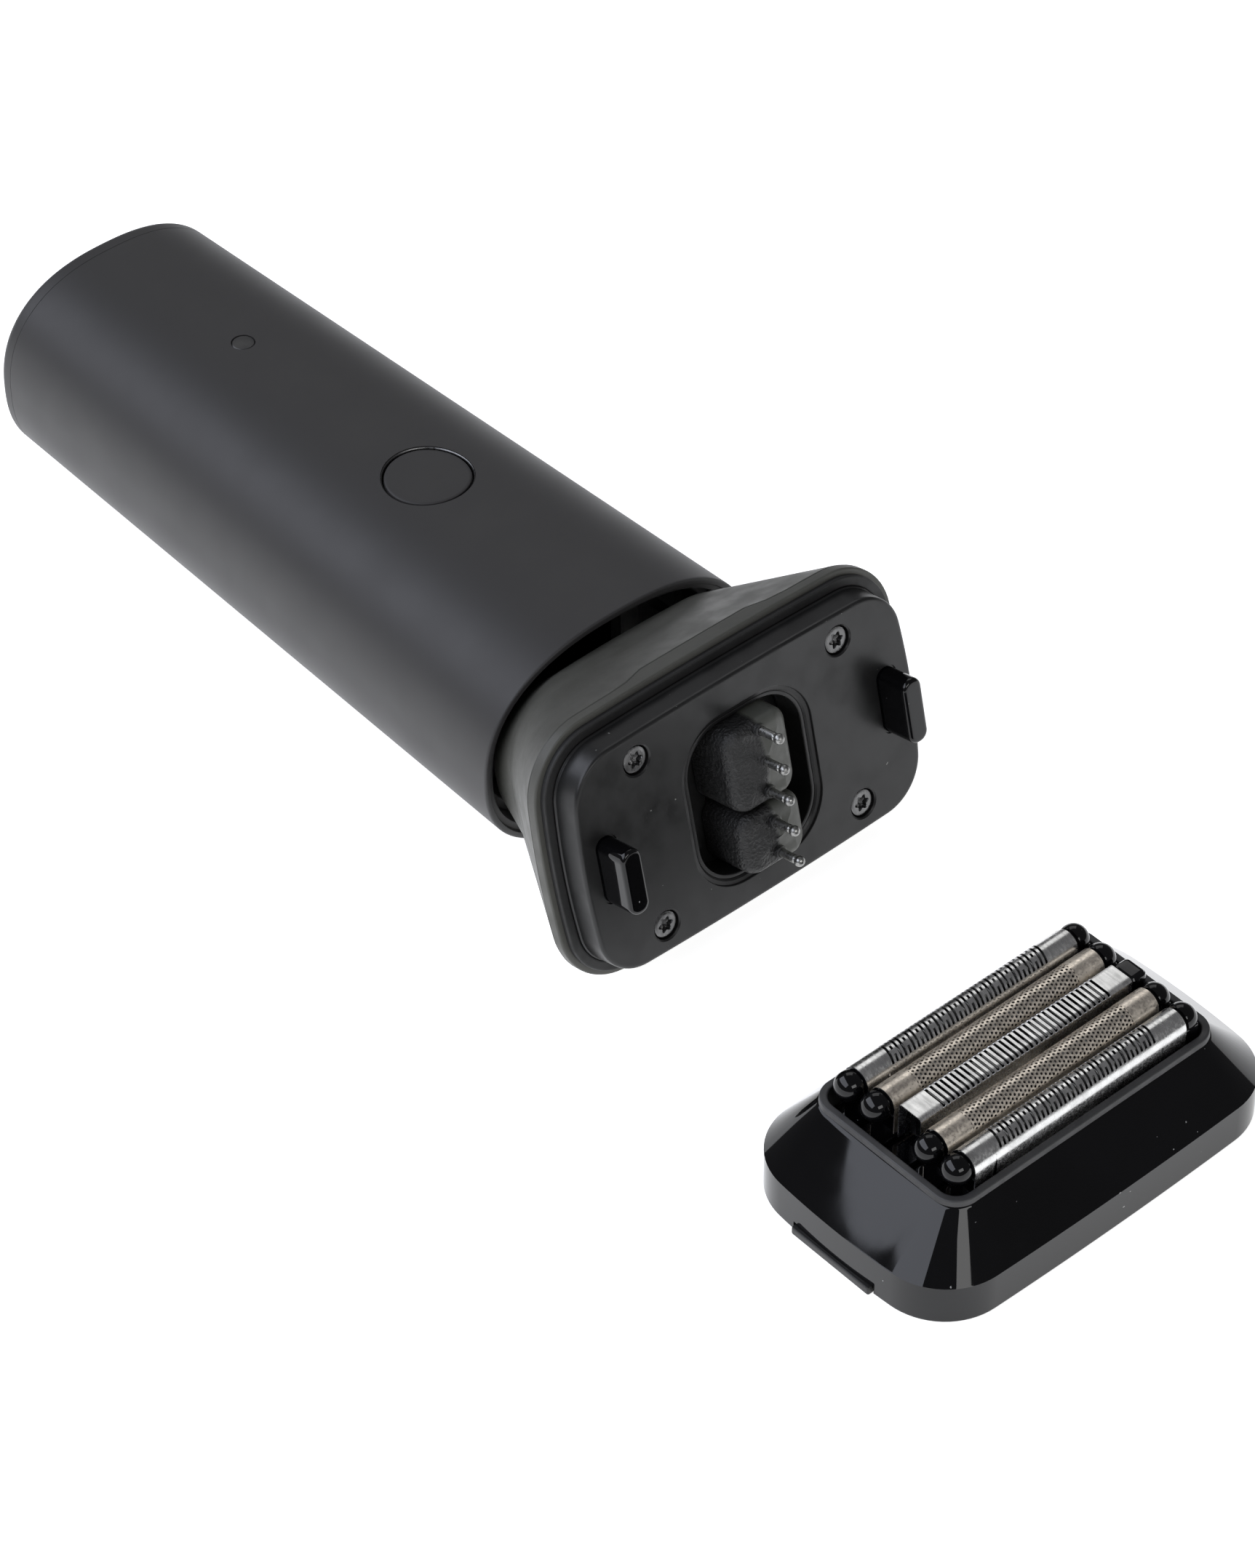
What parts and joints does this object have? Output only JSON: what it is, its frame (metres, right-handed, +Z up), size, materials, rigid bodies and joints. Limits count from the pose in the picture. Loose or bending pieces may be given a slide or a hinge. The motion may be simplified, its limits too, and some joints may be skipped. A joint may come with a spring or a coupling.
{
  "type": "foil shaver",
  "caption": "Cordless foil shaver lying on its back, head tilted, with its shaving cassette unclipped and standing in front: drive pins, floating foils and inner works as separate pieces.",
  "frame": {"origin": "middle of the whole footprint, handle and unclipped cassette together, on the surface they lie on", "axes": "+Z up, +Y along the handle from its head to its tail, +X along the foils to the right seen from the head's front"},
  "size_m": [0.0675, 0.212, 0.0401],
  "materials": {
    "soft_touch": "soft-touch coated",
    "satin_black": "satin moulded",
    "neck_grey": "fine matte",
    "gloss_black": "high gloss",
    "rubber_black": "matte",
    "boot_rubber": "grained",
    "matt_frame": "matte",
    "steel": "polished",
    "foil_steel": "polished",
    "mesh_foil": "satin",
    "dark_steel": "dark",
    "board_green": "solder mask",
    "cell_wrap": "shrink sleeve",
    "copper": "enamelled wire",
    "magnet": "nickel plated",
    "inner_plastic": "moulded",
    "white_plastic": "moulded",
    "light_clear": "smoked"
  },
  "bodies": {
    "handle": {"handle_shell": "soft_touch", "tail_cap": "soft_touch", "charge_port": "steel", "charge_board": "board_green", "charge_tongue": "satin_black", "mouth_collar": "rubber_black", "front_bulkhead": "inner_plastic", "pivot_pins": "steel", "inner_frame": "inner_plastic", "circuit_board": "board_green", "board_screws": "steel", "tact_switch": "satin_black", "battery": "cell_wrap", "button_ring": "dark_steel", "light_pipe": "light_clear"},
    "button": {"power_button": "soft_touch"},
    "head": {"head_housing": "neck_grey", "head_plate": "satin_black", "rim_gasket": "rubber_black", "drive_well": "satin_black", "plate_screws": "dark_steel", "locating_lugs": "gloss_black", "head_frame": "inner_plastic", "motor_core": "dark_steel", "motor_coil": "copper"},
    "drive_upper": {"armature_upper": "white_plastic", "magnets_upper": "magnet", "drive_boot_upper": "boot_rubber", "drive_pins_upper": "steel"},
    "drive_lower": {"armature_lower": "white_plastic", "magnets_lower": "magnet", "drive_boot_lower": "boot_rubber", "drive_pins_lower": "steel"},
    "cassette": {"cassette_housing": "gloss_black", "release_tabs": "satin_black", "foil_frame": "matt_frame", "base_frame": "satin_black", "cassette_screws": "steel", "float_springs_1": "steel", "float_springs_2": "steel", "float_springs_3": "steel", "float_springs_4": "steel", "float_springs_5": "steel"},
    "element_1": {"outer_foil_rear": "foil_steel", "foil_carrier_1": "gloss_black"},
    "element_2": {"mesh_foil_rear": "mesh_foil", "foil_carrier_2": "gloss_black"},
    "element_3": {"trimmer_guard": "foil_steel", "foil_carrier_3": "gloss_black"},
    "element_4": {"mesh_foil_front": "mesh_foil", "foil_carrier_4": "gloss_black"},
    "element_5": {"outer_foil_front": "foil_steel", "foil_carrier_5": "gloss_black"},
    "inner_cutter_1": {"cutter_1": "dark_steel"},
    "inner_cutter_2": {"cutter_2": "dark_steel"},
    "inner_cutter_3": {"cutter_3": "dark_steel"},
    "inner_cutter_4": {"cutter_4": "dark_steel"},
    "inner_cutter_5": {"cutter_5": "dark_steel"}
  },
  "joints": [
    {"name": "head_tilt", "type": "hinge", "parent": "handle", "child": "head", "pos_m": [0.00235, -0.0166, 0.0183], "axis": [1, 0, 0], "range_deg": [0, 21], "stiffness_Nm_per_rad": 0.02, "springref_deg": 13.2},
    {"name": "power_button_press", "type": "slide", "parent": "handle", "child": "button", "axis": [0, 0, -1], "range_m": [0, 0.0004], "stiffness_N_per_m": 1500},
    {"name": "drive_upper_stroke", "type": "slide", "parent": "head", "child": "drive_upper", "axis": [1, 0, 0], "range_m": [-0.001, 0.001], "stiffness_N_per_m": 2000},
    {"name": "drive_lower_stroke", "type": "slide", "parent": "head", "child": "drive_lower", "axis": [1, 0, 0], "range_m": [-0.001, 0.001], "stiffness_N_per_m": 2000},
    {"name": "cassette_lift", "type": "slide", "parent": "handle", "child": "cassette", "axis": [0, 0, 1], "range_m": [0, 0.05]},
    {"name": "element_1_float", "type": "slide", "parent": "cassette", "child": "element_1", "axis": [0, 0, -1], "range_m": [0, 0.001], "stiffness_N_per_m": 400, "deforming": ["float_springs_1"]},
    {"name": "element_2_float", "type": "slide", "parent": "cassette", "child": "element_2", "axis": [0, 0, -1], "range_m": [0, 0.001], "stiffness_N_per_m": 400, "deforming": ["float_springs_2"]},
    {"name": "element_3_float", "type": "slide", "parent": "cassette", "child": "element_3", "axis": [0, 0, -1], "range_m": [0, 0.001], "stiffness_N_per_m": 400, "deforming": ["float_springs_3"]},
    {"name": "element_4_float", "type": "slide", "parent": "cassette", "child": "element_4", "axis": [0, 0, -1], "range_m": [0, 0.001], "stiffness_N_per_m": 400, "deforming": ["float_springs_4"]},
    {"name": "element_5_float", "type": "slide", "parent": "cassette", "child": "element_5", "axis": [0, 0, -1], "range_m": [0, 0.001], "stiffness_N_per_m": 400, "deforming": ["float_springs_5"]},
    {"name": "cutter_1_stroke", "type": "slide", "parent": "element_1", "child": "inner_cutter_1", "axis": [1, 0, 0], "range_m": [-0.001, 0.001]},
    {"name": "cutter_2_stroke", "type": "slide", "parent": "element_2", "child": "inner_cutter_2", "axis": [1, 0, 0], "range_m": [-0.001, 0.001]},
    {"name": "cutter_3_stroke", "type": "slide", "parent": "element_3", "child": "inner_cutter_3", "axis": [1, 0, 0], "range_m": [-0.001, 0.001]},
    {"name": "cutter_4_stroke", "type": "slide", "parent": "element_4", "child": "inner_cutter_4", "axis": [1, 0, 0], "range_m": [-0.001, 0.001]},
    {"name": "cutter_5_stroke", "type": "slide", "parent": "element_5", "child": "inner_cutter_5", "axis": [1, 0, 0], "range_m": [-0.001, 0.001]}
  ],
  "couplings": [
    {"joint": "drive_lower_stroke", "follows": "drive_upper_stroke", "ratio": -1},
    {"joint": "cutter_2_stroke", "follows": "cutter_1_stroke", "ratio": 1},
    {"joint": "cutter_3_stroke", "follows": "cutter_1_stroke", "ratio": 1},
    {"joint": "cutter_5_stroke", "follows": "cutter_4_stroke", "ratio": 1}
  ]
}
